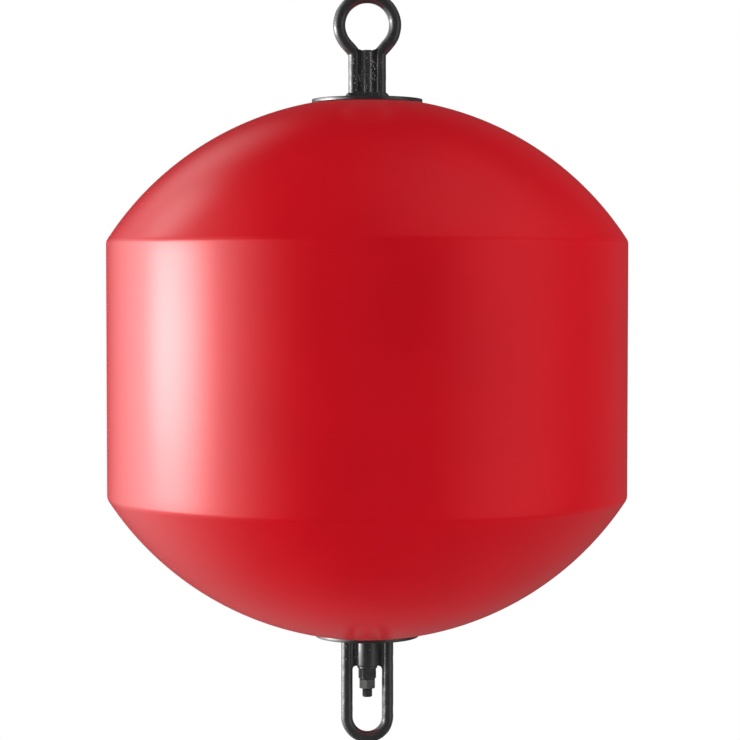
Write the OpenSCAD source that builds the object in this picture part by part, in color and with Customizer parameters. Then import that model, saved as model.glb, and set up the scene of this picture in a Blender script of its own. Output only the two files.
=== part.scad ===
// Mooring buoy: a moulded float on a steel tie rod, with a welded ring eye on top
// and a swivelling bow below, held by a washer, a nut and a lock nut.
// Millimetres, +Z up, origin on the rod's axis at mid-height of the float.

/* [Float] */
// Diameter of the float's cylinder
float_d = 800; // [500:10:1200]
// Height of the straight cylinder between the two domes
cylinder_h = 392; // [200:2:700]
// Height that each dome would reach above the cylinder without its flat seat
dome_h = 220; // [150:5:250]
// Radius of the rounded edge between cylinder and dome
edge_r = 14; // [6:1:30]
// Radial room between the float's centre tube and the tie rod
float_bore_gap = 2; // [0.5:0.5:6]
// Width of the flat seat that shows around the larger plate
seat_margin = 1; // [0.5:0.5:12]

/* [Plates] */
// Diameter of the round plate on top
top_plate_d = 170; // [130:5:260]
// Diameter of the round plate below
bottom_plate_d = 160; // [130:5:260]
// Thickness of the plates
plate_t = 6; // [4:0.5:12]
// Chamfer on the plates' edges
plate_chamfer = 1; // [0.5:0.1:1.8]

/* [Rod] */
// Diameter of the tie rod
rod_d = 16; // [12:1:24]
// Chamfer on the rod's ends
rod_chamfer = 1.5; // [0.5:0.1:3]

/* [Top eye] */
// Diameter of the round bar that the top eye is bent from
eye_bar_d = 19; // [14:1:22]
// Diameter of the ring along the bar's centreline
eye_ring_d = 86; // [80:1:110]
// Height of the ring's centre above the top plate
eye_h = 113.5; // [100:0.5:180]
// Slope of the shoulders between ring and legs, from the vertical
eye_shoulder_angle = 41; // [34:1:44]
// Centreline radius of the bends between shoulders and legs
eye_bend_r = 12; // [11.5:0.5:20]
// How far the rod's end stays below the ring's inner edge
eye_rod_drop = 4.5; // [0:0.5:12]
// Gap between the rod and each leg, filled by weld
eye_weld_gap = 2; // [1:0.5:8]
// Front to back thickness of the weld, as a share of the thinner of rod and bar
eye_weld_share = 0.85; // [0.5:0.05:0.95]

/* [Swivel] */
// Diameter of the round bar that the bow is bent from
bow_bar_d = 18; // [14:1:22]
// Wall of the boss that turns on the rod
boss_wall = 9.2; // [6:0.1:16]
// Height of the boss
boss_h = 45.5; // [30:0.5:80]
// Chamfer on the boss's edges
boss_chamfer = 1.5; // [0.5:0.1:3]
// Radial clearance between boss and rod
boss_gap = 0.3; // [0.1:0.05:1]
// Free space between the boss and the plate above it
swivel_play = 0.8; // [0.4:0.1:3]
// Gap between the boss and each leg of the bow, filled by weld
bow_weld_gap = 5; // [2:0.5:8]
// Front to back thickness of the weld, as a share of the thinner of boss and bar
bow_weld_share = 0.65; // [0.4:0.05:0.9]
// Free space between the rod's end and the centre of the bow's bend
bow_room = 31.5; // [10:0.5:80]
// Free space between the bow's leg ends and the plate
bow_leg_clear = 5; // [2:0.5:10]

/* [Fasteners] */
// Width of the washer's rim around the rod
washer_rim = 7.5; // [4:0.5:12]
// Thickness of the washer
washer_t = 3; // [2:0.5:5]
// Chamfer on the washer's edges
washer_chamfer = 0.4; // [0.2:0.1:0.8]
// Free space between boss and washer
washer_play = 0.3; // [0.2:0.05:0.8]
// Wall of both nuts, from the rod to the flats
nut_wall = 4; // [2.5:0.5:8]
// Height of the nut
nut_h = 17; // [10:0.5:24]
// Height of the lock nut below it
lock_nut_h = 14.5; // [8:0.5:20]
// Length of rod that shows below the lock nut
rod_tail = 13.5; // [4:0.5:30]
// Radial clearance of plates, washer and nuts on the rod
rod_gap = 0.2; // [0.1:0.05:0.5]

/* [Hidden] */

// Smoothness of round shapes, sides of the bent bars and steps along their bends
round_fn = 96;
bar_sides = 24;
ring_steps = 48;
bend_steps = 8;
bow_steps = 30;

// How far cuts run past the solid that they cut
overrun = 1;
// How far the edge's rounding circle stands proud, so that it crosses both faces
edge_lap = 0.05;
// Reach of the wedge that cuts the sharp edge away, as a share of the edge's radius
edge_reach_share = 2;
// Sides of a nut, angle of its corner chamfers and turn of the lock nut against the nut
nut_sides = 6;
nut_chamfer_angle = 30;
lock_nut_turn = 30;

red = "#c01422";
black = "#26262a";

float_r = float_d / 2;
rod_r = rod_d / 2;
eye_bar_r = eye_bar_d / 2;
bow_bar_r = bow_bar_d / 2;
ring_r = eye_ring_d / 2;

// What goes around the rod
float_bore_r = rod_r + float_bore_gap;
snug_r = rod_r + rod_gap;
boss_bore_r = rod_r + boss_gap;
boss_r = boss_bore_r + boss_wall;
washer_r = rod_r + washer_rim;
nut_flat_r = rod_r + nut_wall;

// The dome is part of a sphere through the sharp edge and the pole
dome_r = (float_r * float_r + dome_h * dome_h) / (2 * dome_h);
dome_z = cylinder_h / 2 + dome_h - dome_r;
// Rounding circle of the edge
edge_x = float_r + edge_lap - edge_r;
edge_out = dome_r + edge_lap - edge_r;
edge_z = dome_z + sqrt(edge_out * edge_out - edge_x * edge_x);
edge_reach = edge_reach_share * edge_r;

// Levels from the top eye down to the bow
seat_r = max(top_plate_d, bottom_plate_d) / 2 + seat_margin;
seat_z = dome_z + sqrt(dome_r * dome_r - seat_r * seat_r);
plate_face_z = seat_z + plate_t;
eye_z = plate_face_z + eye_h;
rod_top_z = eye_z - ring_r + eye_bar_r - eye_rod_drop;
bow_top_z = -plate_face_z - bow_leg_clear;
boss_top_z = -plate_face_z - swivel_play;
boss_low_z = boss_top_z - boss_h;
washer_z = boss_low_z - washer_play - washer_t;
nut_z = washer_z - nut_h;
lock_nut_z = nut_z - lock_nut_h;
rod_low_z = lock_nut_z - rod_tail;
bow_z = rod_low_z - bow_room;

// The legs of both eyes and the welds between them
leg_x = rod_r + eye_weld_gap + eye_bar_r;
bow_x = boss_r + bow_weld_gap + bow_bar_r;
eye_weld_t = eye_weld_share * min(rod_d, eye_bar_d);
bow_weld_t = bow_weld_share * min(2 * boss_r, bow_bar_d);

// The straight shoulder leaves the ring on its tangent and ends in the bend into the leg
slope_x = sin(eye_shoulder_angle);
slope_z = cos(eye_shoulder_angle);
bend_x = leg_x + eye_bend_r;
shoulder = ((ring_r + eye_bend_r) * slope_z - bend_x) / slope_x;
bend_z = eye_z - (ring_r + eye_bend_r) * slope_x - shoulder * slope_z;

// Points of an arc in the XZ plane, without its first point
function arc(centre, r, from, to, steps) = [
    for (i = [1 : steps])
        let (turn = from + (to - from) * i / steps)
        centre + r * [cos(turn), sin(turn)]
];

// A path mirrored in X and run the other way, without its first point
function other_side(path) = [for (i = [len(path) - 2 : -1 : 0]) [-path[i].x, path[i].y]];

// Right leg, bend and shoulder of the top eye, then the ring, then the left side
eye_leg = concat(
    [[leg_x, plate_face_z], [leg_x, bend_z]],
    arc([bend_x, bend_z], eye_bend_r, 180, 180 - eye_shoulder_angle, bend_steps),
    [[0, eye_z] + ring_r * [slope_z, -slope_x]]
);
eye_ring = arc([0, eye_z], ring_r, -eye_shoulder_angle, 180 + eye_shoulder_angle, ring_steps);
eye_path = concat(eye_leg, eye_ring, other_side(eye_leg));

// Right leg of the bow, round its bend and up the left leg
bow_path = concat(
    [[bow_x, bow_top_z], [bow_x, bow_z]],
    arc([0, bow_z], bow_x, 0, -180, bow_steps),
    [[-bow_x, bow_top_z]]
);

// A round bar swept along a path in the XZ plane
module bent_bar(path, bar_r) {
    last = len(path) - 1;
    points = [
        for (i = [0 : last])
            let (
                step = path[min(i + 1, last)] - path[max(i - 1, 0)],
                along = step / norm(step)
            )
            for (j = [0 : bar_sides - 1])
                let (turn = 360 * j / bar_sides)
                [
                    path[i].x + bar_r * cos(turn) * along.y,
                    bar_r * sin(turn),
                    path[i].y - bar_r * cos(turn) * along.x,
                ]
    ];
    sides = [
        for (i = [0 : last - 1], j = [0 : bar_sides - 1])
            let (
                a = i * bar_sides + j,
                b = i * bar_sides + (j + 1) % bar_sides
            )
            each [[a, b + bar_sides, b], [a, a + bar_sides, b + bar_sides]]
    ];
    first_end = [for (j = [0 : bar_sides - 1]) j];
    last_end = [for (j = [bar_sides - 1 : -1 : 0]) last * bar_sides + j];
    polyhedron(points, concat([first_end], sides, [last_end]));
}

// A round plate, rod or sleeve with chamfered outer edges, from z = 0 up
module turned(r, bore_r, h, chamfer) {
    rotate_extrude($fn = round_fn)
        polygon([
            [bore_r, 0],
            [r - chamfer, 0],
            [r, chamfer],
            [r, h - chamfer],
            [r - chamfer, h],
            [bore_r, h],
        ]);
}

// A hexagon nut with its corners chamfered at both ends, from z = 0 up
module nut(h) {
    corner_r = nut_flat_r / cos(180 / nut_sides);
    rim_r = corner_r + overrun;
    fall = (rim_r - nut_flat_r) * tan(nut_chamfer_angle);
    difference() {
        intersection() {
            cylinder(r = corner_r, h = h, $fn = nut_sides);
            rotate_extrude($fn = round_fn)
                polygon([[0, 0], [nut_flat_r, 0], [rim_r, fall], [rim_r, h - fall], [nut_flat_r, h], [0, h]]);
        }
        translate([0, 0, -overrun])
            cylinder(r = snug_r, h = h + 2 * overrun, $fn = round_fn);
    }
}

// Weld that fills the gap between a round core on the axis and two legs, less its children
module side_welds(core_r, reach, t, low_z, high_z) {
    for (side = [0, 1])
        mirror([side, 0, 0])
            difference() {
                translate([0, -t / 2, low_z])
                    cube([reach, t, high_z - low_z]);
                translate([0, 0, low_z - overrun])
                    cylinder(r = core_r, h = high_z - low_z + 2 * overrun, $fn = round_fn);
                children();
            }
}

// The waste outside the rounding circle at the float's upper edge
module edge_waste() {
    middle = [edge_x, edge_z];
    outward = [edge_x, edge_z - dome_z] / edge_out;
    difference() {
        polygon([middle, middle + [edge_reach, 0], middle + edge_reach * outward]);
        translate(middle)
            circle(r = edge_r, $fn = round_fn);
    }
}

// The waste above the upper dome, out to the rounded edge
module dome_waste() {
    difference() {
        translate([0, edge_z])
            square([float_r + overrun, seat_z - edge_z + overrun]);
        translate([0, dome_z])
            circle(r = dome_r, $fn = round_fn);
    }
}

// Half section of the float: cylinder, two domes, flat seats, rounded edges and bore
module float_section() {
    difference() {
        translate([float_bore_r, -seat_z])
            square([float_r - float_bore_r, 2 * seat_z]);
        for (end = [0, 1])
            mirror([0, end]) {
                dome_waste();
                edge_waste();
            }
    }
}

module float_hull() {
    color(red)
        rotate_extrude($fn = round_fn)
            float_section();
}

module top_plate() {
    color(black)
        translate([0, 0, seat_z])
            turned(top_plate_d / 2, snug_r, plate_t, plate_chamfer);
}

module bottom_plate() {
    color(black)
        translate([0, 0, -plate_face_z])
            turned(bottom_plate_d / 2, snug_r, plate_t, plate_chamfer);
}

module tie_rod() {
    color(black)
        translate([0, 0, rod_low_z])
            turned(rod_r, 0, rod_top_z - rod_low_z, rod_chamfer);
}

module top_eye() {
    color(black)
        bent_bar(eye_path, eye_bar_r);
}

module top_eye_weld() {
    color(black)
        side_welds(rod_r, leg_x, eye_weld_t, plate_face_z, rod_top_z)
            bent_bar(eye_path, eye_bar_r);
}

module swivel_boss() {
    color(black)
        translate([0, 0, boss_low_z])
            turned(boss_r, boss_bore_r, boss_h, boss_chamfer);
}

module swivel_bow() {
    color(black)
        bent_bar(bow_path, bow_bar_r);
}

// The weld's lower end curves from the boss's lower edge down to each leg
module swivel_weld() {
    weld_low_z = boss_low_z - bow_weld_gap;
    color(black)
        side_welds(boss_r, bow_x, bow_weld_t, weld_low_z, bow_top_z) {
            bent_bar(bow_path, bow_bar_r);
            translate([boss_r, 0, weld_low_z])
                rotate([90, 0, 0])
                    cylinder(r = bow_weld_gap, h = bow_weld_t + 2 * overrun, center = true, $fn = round_fn);
        }
}

module washer() {
    color(black)
        translate([0, 0, washer_z])
            turned(washer_r, snug_r, washer_t, washer_chamfer);
}

module hex_nut() {
    color(black)
        translate([0, 0, nut_z])
            nut(nut_h);
}

module lock_nut() {
    color(black)
        translate([0, 0, lock_nut_z])
            rotate([0, 0, lock_nut_turn])
                nut(lock_nut_h);
}

float_hull();
top_plate();
bottom_plate();
tie_rod();
top_eye();
top_eye_weld();
swivel_boss();
swivel_bow();
swivel_weld();
washer();
hex_nut();
lock_nut();
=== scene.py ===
import math
import random

import bmesh
import bpy
import numpy as np
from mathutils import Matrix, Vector, noise


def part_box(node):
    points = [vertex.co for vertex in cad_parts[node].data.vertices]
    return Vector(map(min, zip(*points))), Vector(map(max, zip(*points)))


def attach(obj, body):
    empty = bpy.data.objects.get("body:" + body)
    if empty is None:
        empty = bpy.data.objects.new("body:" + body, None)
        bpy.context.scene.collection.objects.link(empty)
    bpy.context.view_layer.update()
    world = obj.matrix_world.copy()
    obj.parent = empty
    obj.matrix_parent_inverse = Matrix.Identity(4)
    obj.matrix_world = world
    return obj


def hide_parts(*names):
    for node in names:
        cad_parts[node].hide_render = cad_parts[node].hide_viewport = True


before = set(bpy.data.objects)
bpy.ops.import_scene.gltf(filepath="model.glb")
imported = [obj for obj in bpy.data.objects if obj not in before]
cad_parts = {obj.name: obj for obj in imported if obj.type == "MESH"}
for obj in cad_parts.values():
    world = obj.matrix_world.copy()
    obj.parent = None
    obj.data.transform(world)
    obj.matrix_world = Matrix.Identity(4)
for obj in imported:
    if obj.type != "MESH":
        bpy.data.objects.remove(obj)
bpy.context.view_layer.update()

MM = 0.001
TURN = 2 * math.pi

# Sizes of the part that its boxes don't give, in metres
CYLINDER_H = 392 * MM
DOME_H = 220 * MM
EDGE_R = 14 * MM
FLOAT_BORE_R = 10 * MM
EYE_SHOULDER_ANGLE = math.radians(41)
EYE_BEND_R = 12 * MM
BOSS_BORE_R = 8.3 * MM
SNUG_BORE_R = 8.2 * MM
THREAD_PITCH = 2 * MM
THREAD_DEPTH = 1.1 * MM

# Sizes that come from the frame
_, float_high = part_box("float_hull")
_, plate_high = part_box("top_plate")
rod_low, rod_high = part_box("tie_rod")
eye_low, eye_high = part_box("top_eye")
boss_low, boss_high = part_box("swivel_boss")
bow_low, bow_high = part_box("swivel_bow")

FLOAT_R = float_high.x
SEAT_Z = float_high.z
PLATE_R = plate_high.x
PLATE_FACE_Z = plate_high.z
ROD_R = rod_high.x
EYE_BAR_R = eye_high.y
RING_R = eye_high.x - EYE_BAR_R
EYE_Z = eye_high.z - RING_R - EYE_BAR_R
BOSS_R = boss_high.x
BOW_BAR_R = bow_high.y
BOW_X = bow_high.x - BOW_BAR_R
BOW_Z = bow_low.z + BOW_X + BOW_BAR_R

# The eye's legs stand as far from the axis as the middle of its right foot
FOOT_BAND = 1 * MM
right_foot = [
    v.co.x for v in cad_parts["top_eye"].data.vertices
    if v.co.z < eye_low.z + FOOT_BAND and v.co.x > 0
]
LEG_X = (min(right_foot) + max(right_foot)) / 2


# Camera: as far, as high and as steep as the photograph's

CAMERA_DISTANCE = 3.63
CAMERA_HEIGHT = 0.1434
CAMERA_RIGHT = 0.0043
CAMERA_PITCH = math.radians(2.29)
CAMERA_LENS = 114.5
CAMERA_SENSOR = 36


def make_camera():
    data = bpy.data.cameras.new("camera")
    data.lens = CAMERA_LENS
    data.sensor_width = CAMERA_SENSOR
    camera = bpy.data.objects.new("camera", data)
    camera.location = (CAMERA_RIGHT, -CAMERA_DISTANCE, CAMERA_HEIGHT)
    camera.rotation_euler = (math.pi / 2 - CAMERA_PITCH, 0, 0)
    bpy.context.scene.collection.objects.link(camera)
    bpy.context.scene.camera = camera


make_camera()


# Mesh helpers

MERGE_DISTANCE = 1e-6
# Edges sharper than this many degrees stay sharp on bent bars and welds
BAR_SHARP_ANGLE = 50


def mesh_object(name, verts, faces, sharp_angle=35):
    """A mesh object with outward normals, smooth but for edges sharper than the angle."""
    mesh = bpy.data.meshes.new(name)
    mesh.from_pydata([tuple(v) for v in verts], [], faces)
    bm = bmesh.new()
    bm.from_mesh(mesh)
    bmesh.ops.remove_doubles(bm, verts=bm.verts, dist=MERGE_DISTANCE)
    bmesh.ops.recalc_face_normals(bm, faces=bm.faces)
    bm.to_mesh(mesh)
    bm.free()
    for polygon in mesh.polygons:
        polygon.use_smooth = True
    mesh.set_sharp_from_angle(angle=math.radians(sharp_angle))
    piece = bpy.data.objects.new(name, mesh)
    bpy.context.scene.collection.objects.link(piece)
    return piece


def grid_faces(rows, columns, offset=0, wrap_rows=False, wrap_columns=True):
    """Quads between rows of points, each row a ring or an open line."""
    faces = []
    for i in range(rows if wrap_rows else rows - 1):
        for j in range(columns if wrap_columns else columns - 1):
            a = i * columns + j
            b = i * columns + (j + 1) % columns
            up = ((i + 1) % rows - i) * columns
            faces.append((a + offset, b + offset, b + up + offset, a + up + offset))
    return faces


def end_caps(rows, columns):
    """The two faces that close the first and the last ring of a grid."""
    last = (rows - 1) * columns
    return [tuple(range(columns)), tuple(range(last, last + columns))]


def lathe(name, outline, steps=128):
    """A closed outline of (r, z) points turned about the Z axis."""
    turns = np.linspace(0, TURN, steps, endpoint=False)
    verts = [(r * math.cos(t), r * math.sin(t), z) for r, z in outline for t in turns]
    return mesh_object(name, verts, grid_faces(len(outline), steps, wrap_rows=True))


def rounded(corners, reaches, steps=4):
    """A closed outline of (r, z) corners, each rounded off over its own reach."""
    outline = []
    for i, (corner, reach) in enumerate(zip(corners, reaches)):
        here = np.array(corner)
        before = np.array(corners[i - 1]) - here
        after = np.array(corners[(i + 1) % len(corners)]) - here
        start = here + before / np.linalg.norm(before) * reach
        end = here + after / np.linalg.norm(after) * reach
        for k in range(steps + 1):
            t = k / steps
            point = (1 - t) ** 2 * start + 2 * t * (1 - t) * here + t * t * end
            outline.append(tuple(point))
    return outline


def arc(centre, r, start, end, steps):
    """Points of an arc in a plane, its first point left out."""
    turns = np.linspace(start, end, steps + 1)[1:]
    return [(centre[0] + r * math.cos(t), centre[1] + r * math.sin(t)) for t in turns]


def resample(path, spacing):
    """Points along a path in a plane at about even spacing."""
    path = np.array(path)
    lengths = np.r_[0, np.cumsum(np.linalg.norm(np.diff(path, axis=0), axis=1))]
    at = np.linspace(0, lengths[-1], int(lengths[-1] / spacing) + 1)
    return np.c_[np.interp(at, lengths, path[:, 0]), np.interp(at, lengths, path[:, 1])]


def join_meshes(name, parts):
    """One object from several pairs of verts and faces."""
    verts = []
    faces = []
    for part_verts, part_faces in parts:
        base = len(verts)
        verts += [tuple(v) for v in part_verts]
        faces += [tuple(i + base for i in face) for face in part_faces]
    return mesh_object(name, verts, faces, BAR_SHARP_ANGLE)


# Materials

NOISE_ROUGHNESS = 0.55
# Most of a noise pattern lies between these values
NOISE_SPAN = (0.3, 0.7)


def material(name):
    """A new material, its node tree and its shader."""
    made = bpy.data.materials.new(name)
    made.use_nodes = True
    tree = made.node_tree
    shader = next(n for n in tree.nodes if n.type == "BSDF_PRINCIPLED")
    return made, tree, shader


def add_noise(tree, scale, detail):
    """A noise pattern in the part's own place, in repeats per metre."""
    place = tree.nodes.new("ShaderNodeTexCoord")
    node = tree.nodes.new("ShaderNodeTexNoise")
    node.inputs["Scale"].default_value = scale
    node.inputs["Detail"].default_value = detail
    node.inputs["Roughness"].default_value = NOISE_ROUGHNESS
    tree.links.new(place.outputs["Object"], node.inputs["Vector"])
    return node.outputs["Fac"]


def add_range(tree, value, new_span, old_span=NOISE_SPAN):
    """A value brought from its old span into a new one."""
    node = tree.nodes.new("ShaderNodeMapRange")
    node.inputs["From Min"].default_value = old_span[0]
    node.inputs["From Max"].default_value = old_span[1]
    node.inputs["To Min"].default_value = new_span[0]
    node.inputs["To Max"].default_value = new_span[1]
    tree.links.new(value, node.inputs["Value"])
    return node.outputs["Result"]


def add_mix(tree, factor, a, b):
    """A colour between two others."""
    node = tree.nodes.new("ShaderNodeMix")
    node.data_type = "RGBA"
    for key, colour in (("A", a), ("B", b)):
        socket = next(s for s in node.inputs if s.name == key and s.type == "RGBA")
        socket.default_value = (*colour, 1)
    tree.links.new(factor, next(s for s in node.inputs if s.name == "Factor" and s.type == "VALUE"))
    return next(s for s in node.outputs if s.type == "RGBA")


def add_bump(tree, shader, layers):
    """Bump from several height patterns, each with its depth in metres and its strength."""
    normal = None
    for height, distance, strength in layers:
        node = tree.nodes.new("ShaderNodeBump")
        node.inputs["Distance"].default_value = distance
        node.inputs["Strength"].default_value = strength
        tree.links.new(height, node.inputs["Height"])
        if normal is not None:
            tree.links.new(normal, node.inputs["Normal"])
        normal = node.outputs["Normal"]
    tree.links.new(normal, shader.inputs["Normal"])


RED = (0.54, 0.0068, 0.0138)
RED_DEEP = (0.50, 0.0060, 0.0124)
PLASTIC_ROUGHNESS = (0.235, 0.265)
PLASTIC_IOR = 1.52
# Patterns of the plastic: repeats per metre, and depth and strength of their bump
FLOW_SCALE = 7
FLOW_BUMP = (0.6 * MM, 0.12)
GLOSS_SCALE = 260
PEEL_SCALE = 420
PEEL_BUMP = (0.04 * MM, 0.06)


def make_float_plastic():
    """Glossy moulded polyethylene: even red, soft flow marks, a faint orange peel."""
    made, tree, shader = material("float_plastic")
    flow = add_noise(tree, FLOW_SCALE, detail=3)
    gloss = add_noise(tree, GLOSS_SCALE, detail=2)
    peel = add_noise(tree, PEEL_SCALE, detail=2)
    colour = add_mix(tree, add_range(tree, flow, (0, 1)), RED, RED_DEEP)
    tree.links.new(colour, shader.inputs["Base Color"])
    tree.links.new(add_range(tree, gloss, PLASTIC_ROUGHNESS), shader.inputs["Roughness"])
    shader.inputs["IOR"].default_value = PLASTIC_IOR
    add_bump(tree, shader, [(flow, *FLOW_BUMP), (peel, *PEEL_BUMP)])
    return made


# Patterns that all the steels have: repeats per metre, and depth and strength of their bump
CLOUD_SCALE = 60
CLOUD_SPAN = (0.35, 0.75)
COAT_STRENGTH = 0.35
FINE_SCALE = 2600
FINE_BUMP = (0.03 * MM, 0.15)


def make_steel(name, base, worn, roughness, coat_scale, coat_depth, metal):
    """Dark coated steel: more or less glossy, uneven in tone, with a pitted coat."""
    made, tree, shader = material(name)
    cloud = add_noise(tree, CLOUD_SCALE, detail=4)
    coat = add_noise(tree, coat_scale, detail=3)
    fine = add_noise(tree, FINE_SCALE, detail=2)
    colour = add_mix(tree, add_range(tree, cloud, (0, 1), CLOUD_SPAN), base, worn)
    tree.links.new(colour, shader.inputs["Base Color"])
    tree.links.new(add_range(tree, coat, roughness), shader.inputs["Roughness"])
    shader.inputs["Metallic"].default_value = metal
    add_bump(tree, shader, [(coat, coat_depth, COAT_STRENGTH), (fine, *FINE_BUMP)])
    return made


FLOAT_PLASTIC = make_float_plastic()
BLACK_STEEL = make_steel(
    "black_steel", base=(0.125, 0.125, 0.128), worn=(0.16, 0.16, 0.162),
    roughness=(0.18, 0.26), coat_scale=420, coat_depth=0.12 * MM, metal=0.82)
WELD_STEEL = make_steel(
    "weld_steel", base=(0.13, 0.13, 0.132), worn=(0.175, 0.175, 0.175),
    roughness=(0.14, 0.24), coat_scale=700, coat_depth=0.2 * MM, metal=0.9)
FASTENER_STEEL = make_steel(
    "fastener_steel", base=(0.125, 0.125, 0.128), worn=(0.17, 0.17, 0.17),
    roughness=(0.20, 0.30), coat_scale=600, coat_depth=0.12 * MM, metal=0.82)
DULL_STEEL = make_steel(
    "dull_steel", base=(0.05, 0.05, 0.05), worn=(0.07, 0.07, 0.069),
    roughness=(0.42, 0.55), coat_scale=500, coat_depth=0.15 * MM, metal=0.2)


def dress(piece, body, slot, finish, *nodes):
    """Puts a piece on its body with its finish, in the place of the nodes that it stands for."""
    piece.data.materials.clear()
    piece.data.materials.append(finish)
    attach(piece, body)
    if nodes:
        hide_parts(*nodes)


# The float: turned skin with the slight waves of a moulding

WAVE_DEPTH = 0.25 * MM
WAVE_SCALE = 7.0
# The waves start outside the plates, at this share of their radius
WAVE_START_SHARE = 1.1
SEAT_ROUND = 1.2 * MM
# The seat's rounded rim has one point between dome and flat, in shares of the rounding
RIM_IN_SHARE = 0.4
RIM_DOWN_SHARE = 0.1
# The seat's flat has its outermost point at this share of its radius
SEAT_FLAT_SHARE = 0.8
BORE_ROUND = 2 * MM
WALL_POINTS = 14
EDGE_STEPS = 8
DOME_STEPS = 44
SEAT_POINTS = 4
FLOAT_STEPS = 224


def float_profile():
    """Upper half of the float's outline from its waist to its bore, as (r, z)."""
    dome_r = (FLOAT_R ** 2 + DOME_H ** 2) / (2 * DOME_H)
    dome_z = CYLINDER_H / 2 + DOME_H - dome_r
    edge_r = FLOAT_R - EDGE_R
    edge_z = dome_z + math.sqrt((dome_r - EDGE_R) ** 2 - edge_r ** 2)
    edge_turn = math.atan2(edge_z - dome_z, edge_r)
    seat_r = math.sqrt(dome_r ** 2 - (SEAT_Z - dome_z) ** 2)
    seat_turn = math.acos((seat_r + SEAT_ROUND) / dome_r)
    flat_r = np.linspace(seat_r * SEAT_FLAT_SHARE, FLOAT_BORE_R + BORE_ROUND, SEAT_POINTS)
    points = [(FLOAT_R, z) for z in np.linspace(0, edge_z, WALL_POINTS)]
    points += arc((edge_r, edge_z), EDGE_R, 0, edge_turn, EDGE_STEPS)
    points += arc((0, dome_z), dome_r, edge_turn, seat_turn, DOME_STEPS)
    points += [(seat_r - RIM_IN_SHARE * SEAT_ROUND, SEAT_Z - RIM_DOWN_SHARE * SEAT_ROUND)]
    points += [(seat_r - SEAT_ROUND, SEAT_Z)]
    points += [(r, SEAT_Z) for r in flat_r]
    points += [(FLOAT_BORE_R, SEAT_Z - BORE_ROUND)]
    return points


def make_float():
    upper = float_profile()
    lower = [(r, -z) for r, z in upper[:0:-1]]
    piece = lathe("float_skin", lower + upper, FLOAT_STEPS)
    for vertex in piece.data.vertices:
        radial = Vector((vertex.co.x, vertex.co.y, 0))
        if radial.length > PLATE_R * WAVE_START_SHARE:
            wave = noise.noise(vertex.co * WAVE_SCALE) + 1
            vertex.co -= radial.normalized() * WAVE_DEPTH * wave / 2
    dress(piece, "buoy", "float_plastic", FLOAT_PLASTIC, "float_hull")


make_float()


# Plates, boss and washer: turned parts with softened edges

PLATE_ROUND = 1.2 * MM
BOSS_ROUND = 2 * MM
WASHER_ROUND = 0.7 * MM
HOLE_ROUND = 0.5 * MM

# Piece, the node that it stands for, bore, rounding of its edges, body, slot and finish
TURNED_PARTS = [
    ("plate_upper", "top_plate", SNUG_BORE_R, PLATE_ROUND, "buoy", "black_steel", BLACK_STEEL),
    ("plate_lower", "bottom_plate", SNUG_BORE_R, PLATE_ROUND, "buoy", "black_steel", BLACK_STEEL),
    ("boss", "swivel_boss", BOSS_BORE_R, BOSS_ROUND, "swivel", "black_steel", BLACK_STEEL),
    ("washer_ring", "washer", SNUG_BORE_R, WASHER_ROUND, "buoy", "fastener_steel", FASTENER_STEEL),
]


def make_turned(name, node, bore_r, edge_round, body, slot, finish):
    low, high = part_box(node)
    corners = [(bore_r, low.z), (high.x, low.z), (high.x, high.z), (bore_r, high.z)]
    outline = rounded(corners, (HOLE_ROUND, edge_round, edge_round, HOLE_ROUND))
    dress(lathe(name, outline), body, slot, finish, node)


for turned_values in TURNED_PARTS:
    make_turned(*turned_values)


# The tie rod, with a cut thread from its lower end to the boss

ROD_STEPS = 60
ROD_CHAMFER = 1.5 * MM
PLAIN_START = 0.5 * MM
RUN_OUT_PITCHES = 2
LEVELS_PER_PITCH = 10
# The flanks are steeper than a plain zigzag's and cut off, so crests and roots are flat
FLANK_STEEPNESS = 1.3
CREST_CUT = 0.12


def thread_radius(z, t, thread_top):
    """The rod's radius at a level and a turn; its end's chamfer cuts into the thread."""
    end_r = ROD_R - ROD_CHAMFER + min(z - rod_low.z, ROD_CHAMFER)
    run_out = min(1, (thread_top - z) / (RUN_OUT_PITCHES * THREAD_PITCH))
    phase = (z / THREAD_PITCH - t / TURN) % 1
    flank = min(1, max(0, abs(2 * phase - 1) * FLANK_STEEPNESS - CREST_CUT))
    return min(end_r, ROD_R - THREAD_DEPTH * flank * run_out)


def make_rod():
    thread_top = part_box("washer")[1].z
    count = int((thread_top - rod_low.z) / THREAD_PITCH * LEVELS_PER_PITCH)
    turns = np.linspace(0, TURN, ROD_STEPS, endpoint=False)
    rings = []
    for z in np.linspace(rod_low.z, thread_top, count):
        rings.append((z, [thread_radius(z, t, thread_top) for t in turns]))
    for z in (thread_top + PLAIN_START, PLATE_FACE_Z, rod_high.z - ROD_CHAMFER):
        rings.append((z, [ROD_R] * ROD_STEPS))
    rings.append((rod_high.z, [ROD_R - ROD_CHAMFER] * ROD_STEPS))
    verts = []
    for z, radii in rings:
        verts += [(r * math.cos(t), r * math.sin(t), z) for r, t in zip(radii, turns)]
    faces = grid_faces(len(rings), ROD_STEPS) + end_caps(len(rings), ROD_STEPS)
    piece = mesh_object("rod_threaded", verts, faces, sharp_angle=60)
    dress(piece, "buoy", "black_steel", BLACK_STEEL, "tie_rod")


make_rod()


# Hexagon nuts with rounded corners, chamfered ends and a countersunk bore

NUT_CORNER_R = 0.9 * MM
NUT_CHAMFER = math.radians(30)
NUT_SINK = 0.8 * MM
NUT_EDGE = 0.25 * MM
# The end's round face in shares of the flats' radius, and the fall of its rim in shares of its edge
NUT_RIM_SHARE = 0.97
NUT_FALL_SHARE = 0.2


def direction(t):
    """Unit vector in a plane at a turn."""
    return np.array([math.cos(t), math.sin(t)])


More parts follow.
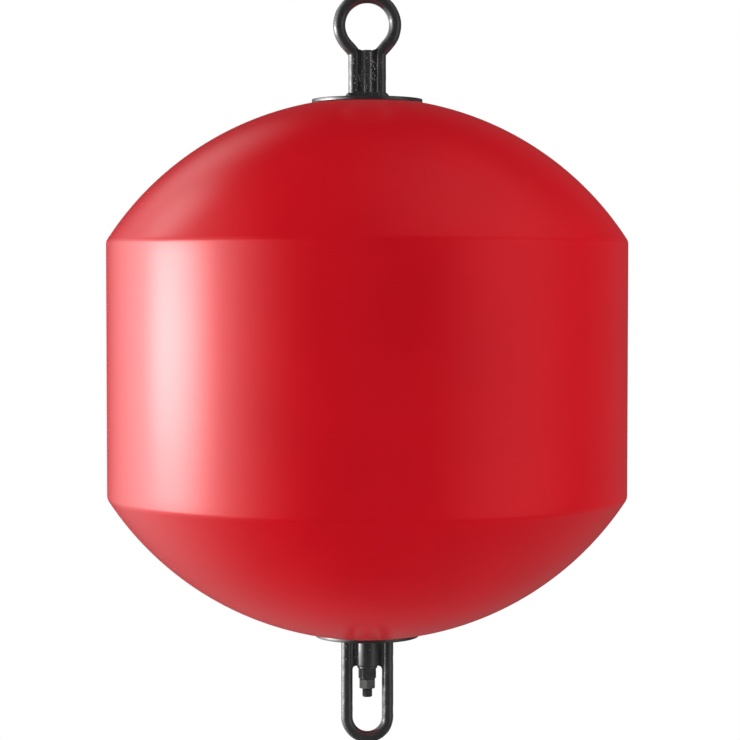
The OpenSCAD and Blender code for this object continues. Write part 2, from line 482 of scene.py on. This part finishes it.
def hexagon(flat_r, turn, flat_steps=7, corner_steps=4):
    """Outline of a hexagon with rounded corners, as (x, y)."""
    inner = (flat_r - NUT_CORNER_R) / math.cos(math.pi / 6)
    points = []
    for side in range(6):
        a = turn + side * math.pi / 3
        b = a + math.pi / 3
        corner = direction(a) * inner
        for k in range(corner_steps + 1):
            t = a - math.pi / 6 + math.pi / 3 * k / corner_steps
            points.append(corner + NUT_CORNER_R * direction(t))
        start = points[-1]
        end = direction(b) * inner + NUT_CORNER_R * direction(b - math.pi / 6)
        for k in range(1, flat_steps + 1):
            points.append(start + (end - start) * k / (flat_steps + 1))
    return points


def make_nut(name, node, turn, finish):
    low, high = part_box(node)
    flat_r = min(high.x, high.y)
    outline = hexagon(flat_r, turn)
    rim_r = flat_r * NUT_RIM_SHARE
    rim_fall = NUT_EDGE * NUT_FALL_SHARE

    def round_ring(r, z):
        return [(*(p / np.linalg.norm(p) * r), z) for p in outline]

    def hex_ring(end_z, inward):
        ring = []
        for p in outline:
            fall = (np.linalg.norm(p) - rim_r) * math.tan(NUT_CHAMFER)
            ring.append((p[0], p[1], end_z + inward * fall))
        return ring

    rings = [
        round_ring(SNUG_BORE_R, low.z + NUT_SINK),
        round_ring(SNUG_BORE_R + NUT_SINK, low.z),
        round_ring(rim_r - NUT_EDGE, low.z),
        round_ring(rim_r, low.z + rim_fall),
        hex_ring(low.z + NUT_EDGE, 1),
        hex_ring(high.z - NUT_EDGE, -1),
        round_ring(rim_r, high.z - rim_fall),
        round_ring(rim_r - NUT_EDGE, high.z),
        round_ring(SNUG_BORE_R + NUT_SINK, high.z),
        round_ring(SNUG_BORE_R, high.z - NUT_SINK),
    ]
    verts = [p for ring in rings for p in ring]
    faces = grid_faces(len(rings), len(outline), wrap_rows=True)
    piece = mesh_object(name, verts, faces, sharp_angle=25)
    dress(piece, "buoy", "fastener_steel", finish, node)


make_nut("nut_upper", "hex_nut", 0, FASTENER_STEEL)
make_nut("nut_lock", "lock_nut", math.pi / 6, DULL_STEEL)


# The two eyes, bent from round bar

BAR_SIDES = 48
BAR_SPACING = 1.5 * MM
BAR_UNEVEN = 0.25 * MM
BAR_UNEVEN_SCALE = 90
BOW_END_ROUND = 1.5 * MM
EYE_BEND_STEPS = 16
EYE_RING_STEPS = 120
BOW_BEND_STEPS = 90


def bent_bar(name, path, r, end_round=0.0):
    """A round bar along a path in the XZ plane, with the slight unevenness of hot bent bar."""
    path = resample(path, BAR_SPACING)
    along = np.gradient(path, axis=0)
    along /= np.linalg.norm(along, axis=1)[:, None]
    rows = []
    for point, step in zip(path, along):
        ring = []
        for k in range(BAR_SIDES):
            t = TURN * k / BAR_SIDES
            side = Vector((math.cos(t) * step[1], math.sin(t), -math.cos(t) * step[0]))
            middle = Vector((point[0], 0, point[1]))
            lift = BAR_UNEVEN * noise.noise((middle + side * r) * BAR_UNEVEN_SCALE)
            ring.append(middle + side * (r + lift))
        rows.append(ring)
    # The cut ends lose their sharp rim
    if end_round:
        for order in (1, -1):
            cut = rows[::order][0]
            middle = sum(cut, Vector()) / BAR_SIDES
            outward = Vector((-along[::order][0][0], 0, -along[::order][0][1])) * order
            inner = [middle + (p - middle) * (1 - end_round / r) for p in cut]
            for k, p in enumerate(cut):
                cut[k] = p - outward * end_round
            rows = [inner] + rows if order == 1 else rows + [inner]
    verts = [p for ring in rows for p in ring]
    faces = grid_faces(len(rows), BAR_SIDES) + end_caps(len(rows), BAR_SIDES)
    return mesh_object(name, verts, faces, BAR_SHARP_ANGLE)


def eye_path():
    """From foot to foot around the ring, as (x, z)."""
    slope_x = math.sin(EYE_SHOULDER_ANGLE)
    slope_z = math.cos(EYE_SHOULDER_ANGLE)
    bend_x = LEG_X + EYE_BEND_R
    shoulder = ((RING_R + EYE_BEND_R) * slope_z - bend_x) / slope_x
    bend_z = EYE_Z - (RING_R + EYE_BEND_R) * slope_x - shoulder * slope_z
    bend_end = math.pi - EYE_SHOULDER_ANGLE
    side = [(LEG_X, PLATE_FACE_Z), (LEG_X, bend_z)]
    side += arc((bend_x, bend_z), EYE_BEND_R, math.pi, bend_end, EYE_BEND_STEPS)
    side += [(RING_R * slope_z, EYE_Z - RING_R * slope_x)]
    ring_end = math.pi + EYE_SHOULDER_ANGLE
    ring = arc((0, EYE_Z), RING_R, -EYE_SHOULDER_ANGLE, ring_end, EYE_RING_STEPS)
    return side + ring + [(-x, z) for x, z in side[-2::-1]]


def bow_path():
    """Down one leg, around the bend and up the other leg, as (x, z)."""
    bend = arc((0, BOW_Z), BOW_X, 0, -math.pi, BOW_BEND_STEPS)
    return [(BOW_X, bow_high.z), (BOW_X, BOW_Z), *bend, (-BOW_X, bow_high.z)]


eye_bar = bent_bar("eye_bar", eye_path(), EYE_BAR_R - BAR_UNEVEN / 2)
dress(eye_bar, "buoy", "black_steel", BLACK_STEEL, "top_eye")
bow_bar = bent_bar("bow_bar", bow_path(), BOW_BAR_R - BAR_UNEVEN / 2, BOW_END_ROUND)
dress(bow_bar, "swivel", "black_steel", BLACK_STEEL, "swivel_bow")


# Welds: rippled beads that fill the space between a core and the two legs

RIPPLE_PITCH = 3.6 * MM
RIPPLE_DEPTH = 0.45 * MM
RIPPLE_BOW = 2.2 * MM
RIPPLE_DRIFT = 0.8 * MM
RIPPLE_DRIFT_SCALE = 130
WELD_COLUMNS = 20
# A bead rounds off over this length to this share of its depth at its ends
WELD_END = 3 * MM
WELD_END_SHARE = 0.72


def half_round(phase):
    """Height of a half circle over a phase from 0 to 1."""
    return math.sqrt(max(0, 1 - (2 * phase - 1) ** 2))


def ripple(u, z, seed):
    """Height of the bead's overlapping ripples, curved across the bead."""
    drift = RIPPLE_DRIFT * noise.noise(Vector((seed, z * RIPPLE_DRIFT_SCALE, 0)))
    phase = (z + drift - RIPPLE_BOW * (2 * u - 1) ** 2) / RIPPLE_PITCH % 1
    return RIPPLE_DEPTH * half_round(phase)


def weld_filler(side, inner, outer, depth_at, low_at, high_at, rows, seed):
    """A filled bead on one side of the core, rippled front and back, as (verts, faces)."""
    verts = []
    for face in (-1, 1):
        for i in range(rows + 1):
            for j in range(WELD_COLUMNS + 1):
                u = j / WELD_COLUMNS
                low = low_at(u)
                high = high_at(u)
                z = low + (high - low) * i / rows
                near_end = min(z - low, high - z) / WELD_END
                ease = math.sqrt(1 - (1 - min(1, near_end)) ** 2)
                depth = depth_at(u) * (WELD_END_SHARE + (1 - WELD_END_SHARE) * ease)
                depth += ripple(u, z, seed + face) * ease * math.sin(math.pi * u)
                verts.append((side * (inner + (outer - inner) * u), face * depth, z))
    width = WELD_COLUMNS + 1
    back = (rows + 1) * width
    faces = grid_faces(rows + 1, width, wrap_columns=False)
    faces += grid_faces(rows + 1, width, offset=back, wrap_columns=False)
    rim = list(range(width))
    rim += [i * width + WELD_COLUMNS for i in range(1, rows + 1)]
    rim += [rows * width + j for j in range(WELD_COLUMNS - 1, -1, -1)]
    rim += [i * width for i in range(rows - 1, 0, -1)]
    for a, b in zip(rim, rim[1:] + rim[:1]):
        faces.append((a, b, b + back, a + back))
    return verts, faces


def make_weld(name, body, node, weld, low_at, high_at, rows, seed):
    """The two beads of a weld; weld holds a bead's inner and outer x and its depth."""
    parts = [weld_filler(side, *weld, low_at, high_at, rows, seed * side) for side in (-1, 1)]
    dress(join_meshes(name, parts), body, "weld_steel", WELD_STEEL, node)


# The eye's weld: where its inner side lies, how far it bites into the legs, how far its top lies
# below the rod's at the core and rises to the legs, its depth at the core, how much deeper it is
# at the legs and how much its middle swells
EYE_WELD_INNER = 3.6 * MM
EYE_WELD_BITE = 3.6 * MM
EYE_WELD_OUTER = LEG_X - EYE_WELD_BITE
EYE_WELD_DROP = 0.8 * MM
EYE_WELD_RISE = 3.5 * MM
EYE_WELD_DEPTH = 6.1 * MM
EYE_WELD_DEEPER = 2.0 * MM
EYE_WELD_CROWN = 0.9 * MM

# The bow's weld: how far it bites into the boss and into the legs, how far its top lies below the
# legs', its depth and how much its middle swells
BOW_WELD_CORE = 3.0 * MM
BOW_WELD_BITE = 2.6 * MM
BOW_WELD_INNER = BOSS_R - BOW_WELD_CORE
BOW_WELD_OUTER = BOW_X - BOW_BAR_R + BOW_WELD_BITE
BOW_WELD_DROP = 1.5 * MM
BOW_WELD_DEPTH = 5.2 * MM
BOW_WELD_CROWN = 1.0 * MM
BOW_GAP = BOW_X - BOW_BAR_R - BOSS_R


def eye_weld_depth(u):
    return EYE_WELD_DEPTH + EYE_WELD_DEEPER * u + EYE_WELD_CROWN * 4 * u * (1 - u)


def eye_weld_low(u):
    return PLATE_FACE_Z


def eye_weld_high(u):
    return rod_high.z - EYE_WELD_DROP + EYE_WELD_RISE * u * u


def bow_weld_depth(u):
    return BOW_WELD_DEPTH + BOW_WELD_CROWN * 4 * u * (1 - u)


def bow_weld_low(u):
    """A curve from the boss's lower edge down to the leg."""
    off = (BOW_WELD_INNER + (BOW_WELD_OUTER - BOW_WELD_INNER) * u - BOSS_R) / BOW_GAP
    return boss_low.z - BOW_GAP * (1 - math.sqrt(1 - min(1, max(0, off)) ** 2))


def bow_weld_high(u):
    return bow_high.z - BOW_WELD_DROP


EYE_WELD = (EYE_WELD_INNER, EYE_WELD_OUTER, eye_weld_depth)
BOW_WELD = (BOW_WELD_INNER, BOW_WELD_OUTER, bow_weld_depth)

make_weld("eye_weld_bead", "buoy", "top_eye_weld", EYE_WELD, eye_weld_low, eye_weld_high,
          rows=130, seed=7)
make_weld("bow_weld_bead", "swivel", "swivel_weld", BOW_WELD, bow_weld_low, bow_weld_high,
          rows=76, seed=3)


# The bead that joins the eye's legs and the rod to the plate

# Its widths outside and inside its path, its height, and how far its path lies inside the legs
FOOT_BEAD_OUT = 9 * MM
FOOT_BEAD_IN = 4 * MM
FOOT_BEAD_H = 11 * MM
FOOT_BEAD_SUNK = 3.5 * MM
FOOT_BEAD_BELOW = 0.4 * MM
FOOT_BEAD_RIPPLE = 0.35 * MM
FOOT_BEAD_LUMP = 0.9 * MM
FOOT_BEAD_LUMP_SCALE = 160
FOOT_BEAD_SEED = 5
FOOT_BEAD_SPACING = 0.7 * MM
FOOT_BEAD_SIDES = 20
FOOT_BEAD_BEND_STEPS = 40


def make_foot_bead():
    reach = EYE_BAR_R - FOOT_BEAD_SUNK
    quarter = math.pi / 2
    path = [(LEG_X, -reach)]
    path += arc((LEG_X, 0), reach, -quarter, quarter, FOOT_BEAD_BEND_STEPS)
    path += [(-LEG_X, reach)]
    path += arc((-LEG_X, 0), reach, quarter, 3 * quarter, FOOT_BEAD_BEND_STEPS)
    path = resample(path + [path[0]], FOOT_BEAD_SPACING)[:-1]
    along = np.roll(path, -1, axis=0) - np.roll(path, 1, axis=0)
    along /= np.linalg.norm(along, axis=1)[:, None]
    verts = []
    for i, ((x, y), (dx, dy)) in enumerate(zip(path, along)):
        lump_at = Vector((x * FOOT_BEAD_LUMP_SCALE, y * FOOT_BEAD_LUMP_SCALE, FOOT_BEAD_SEED))
        swell = FOOT_BEAD_RIPPLE * half_round(i * FOOT_BEAD_SPACING / RIPPLE_PITCH % 1)
        swell += FOOT_BEAD_LUMP * noise.noise(lump_at)
        for k in range(FOOT_BEAD_SIDES):
            t = TURN * k / FOOT_BEAD_SIDES
            width = FOOT_BEAD_OUT + swell if math.cos(t) > 0 else FOOT_BEAD_IN
            outward = width * math.cos(t)
            # The section's lower half is flattened just below the plate's face
            rise = max((FOOT_BEAD_H + swell) * math.sin(t), -FOOT_BEAD_BELOW)
            verts.append((x + dy * outward, y - dx * outward, PLATE_FACE_Z + rise))
    faces = grid_faces(len(path), FOOT_BEAD_SIDES, wrap_rows=True)
    piece = mesh_object("foot_bead", verts, faces, BAR_SHARP_ANGLE)
    dress(piece, "buoy", "weld_steel", WELD_STEEL)


make_foot_bead()


# Weld spatter: small beads stuck to the legs, the core between them and the weld

# Height and width of a bead's rings, its top and its sunk back, in shares of its radius
DOT_RING_SHARES = ((-0.3, 1.0), (0.25, 0.92), (0.55, 0.6))
DOT_TOP_SHARE = 0.7
DOT_BACK_SHARE = 0.3
DOT_SIDES = 12
SPATTER_R = (0.7 * MM, 1.3 * MM)
SPATTER_RUN = 2.4 * MM
# Shares of the beads that sit on the legs and on the core; the others sit on the weld
LEG_SHARE = 0.25
CORE_SHARE = 0.12
# Where they sit: turns around a leg and around the core, in radians, and shares of the weld's width
LEG_TURNS = (-0.9, 0.5)
CORE_TURNS = (-0.5, 0.5)
WELD_SHARES = (0.15, 0.75)


def bead_dot(centre, outward, r, run):
    """A flattened dome on an upright surface, drawn out up and down, as (verts, faces)."""
    centre = Vector(centre)
    out = Vector(outward).normalized()
    up = Vector((0, 0, 1))
    across = up.cross(out)
    verts = []
    for height, width in DOT_RING_SHARES:
        for k in range(DOT_SIDES):
            t = TURN * k / DOT_SIDES
            spread = (across * math.cos(t) + up * math.sin(t)) * r * width
            # All but the two points at the sides follow the run
            if k % (DOT_SIDES // 2):
                spread += up * math.copysign(run, math.sin(t))
            verts.append(centre + out * r * height + spread)
    verts.append(centre + out * r * DOT_TOP_SHARE)
    verts.append(centre - out * r * DOT_BACK_SHARE)
    rings = len(DOT_RING_SHARES)
    top = rings * DOT_SIDES
    last = top - DOT_SIDES
    faces = grid_faces(rings, DOT_SIDES)
    faces += [(last + k, last + (k + 1) % DOT_SIDES, top) for k in range(DOT_SIDES)]
    faces += [((k + 1) % DOT_SIDES, k, top + 1) for k in range(DOT_SIDES)]
    return verts, faces


def spatter(name, body, core_r, leg_x, leg_r, weld, low, high, count, seed):
    """Beads between two levels; weld holds the weld's inner and outer x and its depth."""
    draw = random.Random(seed)
    inner, outer, depth_at = weld
    dots = []
    for _ in range(count):
        face = draw.choice((-1, 1))
        side = draw.choice((-1, 1))
        z = draw.uniform(low, high)
        r = draw.uniform(*SPATTER_R)
        run = draw.uniform(0, SPATTER_RUN)
        where = draw.random()
        if where < LEG_SHARE:
            t = draw.uniform(*LEG_TURNS)
            out = (side * math.sin(t), face * math.cos(t), 0)
            centre = (side * leg_x + out[0] * leg_r, out[1] * leg_r, z)
        elif where < LEG_SHARE + CORE_SHARE:
            t = draw.uniform(*CORE_TURNS)
            out = (math.sin(t), face * math.cos(t), 0)
            centre = (out[0] * core_r, out[1] * core_r, z)
        else:
            u = draw.uniform(*WELD_SHARES)
            out = (0, face, 0)
            centre = (side * (inner + (outer - inner) * u), face * depth_at(u), z)
        dots.append(bead_dot(centre, out, r, run))
    dress(join_meshes(name, dots), body, "weld_steel", WELD_STEEL)


# How far the spatter keeps from the lower and the upper end of its core
EYE_SPATTER_ENDS = (10 * MM, 12 * MM)
BOW_SPATTER_ENDS = (5 * MM, 8 * MM)

spatter("eye_spatter", "buoy", ROD_R, LEG_X, EYE_BAR_R, EYE_WELD,
        PLATE_FACE_Z + EYE_SPATTER_ENDS[0], rod_high.z - EYE_SPATTER_ENDS[1], count=150, seed=11)
spatter("bow_spatter", "swivel", BOSS_R, BOW_X, BOW_BAR_R, BOW_WELD,
        boss_low.z + BOW_SPATTER_ENDS[0], boss_high.z - BOW_SPATTER_ENDS[1], count=50, seed=23)


# Studio: lamps light the colour, gloss mirrors a room of its own, and the backdrop is white

# Name, place, width, height and radiance of each soft lamp; all face the float's middle
LAMPS = [
    ("left_lamp", (-2.25, -0.45, 0.0), 1.3, 1.8, 7.55),
    ("right_lamp", (2.25, -0.45, 0.2), 1.3, 1.0, 8.9),
    ("front_lamp", (0.0, -4.2, 0.5), 4.0, 2.8, 3.05),
    ("top_lamp", (0.0, -0.2, 2.5), 3.0, 3.0, 1.66),
    ("low_lamp", (-0.04, 0.0, -0.93), 3.0, 1.4, 1.25),
    ("left_back_lamp", (-3.2, 3.4, 0.0), 1.5, 2.4, 4.5),
    ("right_back_lamp", (3.2, 3.4, 0.0), 1.5, 2.4, 8.0),
    ("rim_lamp", (-0.1, 2.4, 1.85), 3.6, 1.2, 6.0),
    ("low_rim_lamp", (-0.2, 2.0, -2.0), 3.6, 1.2, 1.5),
]

# Patches of the mirrored room: turn to the right of the front and rise, the angles at which a patch
# starts to fade and ends, all in degrees, then its level and how much flatter than wide it is
MIRRORED_ROOM = [
    # The left lamp and its glow
    (-89.5, -1.4, 8, 25, 17.0, 7),
    (-91, -1.4, 0, 46, 3.4, 3.2),
    (-86, 0, 0, 66, 1.8, 2.5),
    (-99, 0, 10, 68, 1.85, 1),
    # Glows behind on the left, high and low
    (-125, 37, 2, 15, 1.7, 1),
    (-149, 34, 0, 19, 0.8, 1),
    (-130, -37, 0, 52, 0.25, 1),
    # The right lamp's weaker glow
    (64, 0, 5, 42, 0.34, 1),
    (85, 56, 0, 48, 0.3, 1),
    (130, -38, 0, 62, 0.14, 1),
    # Dim walls behind, and the white backdrop
    (180, 0, 40, 110, 0.05, 2),
    (-165, -36, 0, 45, 0.12, 1),
    (180, 0, 5, 10, 1.0, 1),
]
MIRRORED_BASE = 0.004
# What is mirrored twice shows an even room, so the steel leaves no glint or dark spot in the float
MIRRORED_TWICE = 0.35
# Rays with a higher count of reflections are mirrored twice or more
MIRRORED_ONCE_LIMIT = 1.5
WHITE = (1, 1, 1, 1)


def make_world():
    world = bpy.data.worlds.new("studio")
    bpy.context.scene.world = world
    # The world is no lamp: only rays of gloss look the mirrored room up
    world.cycles.sampling_method = "NONE"
    world.use_nodes = True
    tree = world.node_tree
    tree.nodes.clear()
    place = tree.nodes.new("ShaderNodeTexCoord")
    light_path = tree.nodes.new("ShaderNodeLightPath")

    def vector_math(operation, first, second=None):
        """The result of a vector operation on a socket and, where it needs one, a constant."""
        node = tree.nodes.new("ShaderNodeVectorMath")
        node.operation = operation
        tree.links.new(first, node.inputs[0])
        if second is not None:
            node.inputs[1].default_value = second
        return node.outputs["Value" if operation == "LENGTH" else "Vector"]

    def patch(turn, rise, inner, outer, level, flatness):
        """A soft patch of brightness around a direction."""
        turn = math.radians(turn)
        rise = math.radians(rise)
        across = math.cos(rise)
        middle = (math.sin(turn) * across, -math.cos(turn) * across, math.sin(rise))
        off = vector_math("SUBTRACT", place.outputs["Generated"], middle)
        shaped = vector_math("MULTIPLY", off, (1, 1, flatness))
        ramp = tree.nodes.new("ShaderNodeMapRange")
        ramp.interpolation_type = "SMOOTHSTEP"
        ramp.inputs["From Min"].default_value = 2 * math.sin(math.radians(outer) / 2)
        ramp.inputs["From Max"].default_value = 2 * math.sin(math.radians(inner) / 2)
        ramp.inputs["To Max"].default_value = level
        tree.links.new(vector_math("LENGTH", shaped), ramp.inputs["Value"])
        return ramp.outputs["Result"]

    def joined(operation, first, second):
        """The sum, product or comparison of two values, each a socket or a number."""
        node = tree.nodes.new("ShaderNodeMath")
        node.operation = operation
        for socket, value in zip(node.inputs, (first, second)):
            if isinstance(value, float):
                socket.default_value = value
            else:
                tree.links.new(value, socket)
        return node.outputs[0]

    room = MIRRORED_BASE
    for values in MIRRORED_ROOM:
        room = joined("ADD", room, patch(*values))
    # White for the camera and through anything clear, the room for gloss, nothing else
    seen = joined(
        "ADD", light_path.outputs["Is Camera Ray"], light_path.outputs["Is Transmission Ray"])
    depth = light_path.outputs["Glossy Depth"]
    once = joined("MULTIPLY", joined("LESS_THAN", depth, MIRRORED_ONCE_LIMIT), room)
    beyond = joined("GREATER_THAN", depth, MIRRORED_ONCE_LIMIT)
    twice = joined("MULTIPLY", beyond, MIRRORED_TWICE)
    mirrored = joined("MULTIPLY", light_path.outputs["Is Glossy Ray"], joined("ADD", once, twice))
    background = tree.nodes.new("ShaderNodeBackground")
    background.inputs["Color"].default_value = WHITE
    tree.links.new(joined("ADD", seen, mirrored), background.inputs["Strength"])
    output = tree.nodes.new("ShaderNodeOutputWorld")
    tree.links.new(background.outputs[0], output.inputs["Surface"])


def make_lamp(name, place, width, height, radiance):
    """A soft lamp that lights colour only; what gloss shows of it is part of the mirrored room."""
    data = bpy.data.lights.new(name, "AREA")
    data.shape = "RECTANGLE"
    data.size = width
    data.size_y = height
    data.energy = radiance * math.pi * width * height
    # Else a ray of colour that runs by chance near the mirrored direction brings in lamp gloss
    data.cycles.use_multiple_importance_sampling = False
    lamp = bpy.data.objects.new(name, data)
    lamp.location = place
    lamp.rotation_euler = (-lamp.location).to_track_quat("-Z", "Y").to_euler()
    lamp.visible_camera = False
    lamp.visible_glossy = False
    bpy.context.scene.collection.objects.link(lamp)


FLOOR_Z = -0.95
FLOOR_R = 1.9
# The floor fades out from this distance from its middle to this share of its radius
FLOOR_FADE_START = 0.6
FLOOR_FADE_END_SHARE = 0.97
FLOOR_COLOUR = (0.55, 0.55, 0.55, 1)
FLOOR_GLOW = (0.1, 0.1, 0.1, 1)
FLOOR_STEPS = 96
FLOOR_RINGS = 6


def make_floor_white():
    """Pale and faintly aglow to the camera from above, clear to all else and towards its rim."""
    made, tree, shader = material("floor_white")
    tree.nodes.remove(shader)
    light_path = tree.nodes.new("ShaderNodeLightPath")
    diffuse = tree.nodes.new("ShaderNodeBsdfDiffuse")
    diffuse.inputs["Color"].default_value = FLOOR_COLOUR
    glow = tree.nodes.new("ShaderNodeEmission")
    glow.inputs["Color"].default_value = FLOOR_GLOW
    seen = tree.nodes.new("ShaderNodeAddShader")
    tree.links.new(diffuse.outputs[0], seen.inputs[0])
    tree.links.new(glow.outputs[0], seen.inputs[1])
    clear = tree.nodes.new("ShaderNodeBsdfTransparent")

    def switch(factor, off, on):
        node = tree.nodes.new("ShaderNodeMixShader")
        tree.links.new(factor, node.inputs[0])
        tree.links.new(off, node.inputs[1])
        tree.links.new(on, node.inputs[2])
        return node.outputs[0]

    place = tree.nodes.new("ShaderNodeTexCoord")
    length = tree.nodes.new("ShaderNodeVectorMath")
    length.operation = "LENGTH"
    tree.links.new(place.outputs["Object"], length.inputs[0])
    fade = tree.nodes.new("ShaderNodeMapRange")
    fade.interpolation_type = "SMOOTHSTEP"
    fade.inputs["From Min"].default_value = FLOOR_FADE_START
    fade.inputs["From Max"].default_value = FLOOR_R * FLOOR_FADE_END_SHARE
    tree.links.new(length.outputs["Value"], fade.inputs["Value"])
    side = tree.nodes.new("ShaderNodeNewGeometry")
    surface = switch(light_path.outputs["Is Camera Ray"], clear.outputs[0], seen.outputs[0])
    surface = switch(fade.outputs["Result"], surface, clear.outputs[0])
    surface = switch(side.outputs["Backfacing"], surface, clear.outputs[0])
    output = next(n for n in tree.nodes if n.type == "OUTPUT_MATERIAL")
    tree.links.new(surface, output.inputs["Surface"])
    return made


def make_floor():
    """A round floor that takes the object's shadow and fades into the white backdrop."""
    verts = [(0, 0, 0)]
    for i in range(1, FLOOR_RINGS + 1):
        r = FLOOR_R * i / FLOOR_RINGS
        for k in range(FLOOR_STEPS):
            t = TURN * k / FLOOR_STEPS
            verts.append((r * math.cos(t), r * math.sin(t), 0))
    faces = [(0, 1 + k, 1 + (k + 1) % FLOOR_STEPS) for k in range(FLOOR_STEPS)]
    faces += grid_faces(FLOOR_RINGS, FLOOR_STEPS, offset=1)
    floor = mesh_object("floor", verts, faces)
    floor.location.z = FLOOR_Z
    if floor.data.polygons[0].normal.z < 0:
        floor.data.flip_normals()
    floor.data.materials.append(make_floor_white())


make_world()
for lamp_values in LAMPS:
    make_lamp(*lamp_values)
make_floor()

bpy.context.scene.view_settings.view_transform = "Standard"
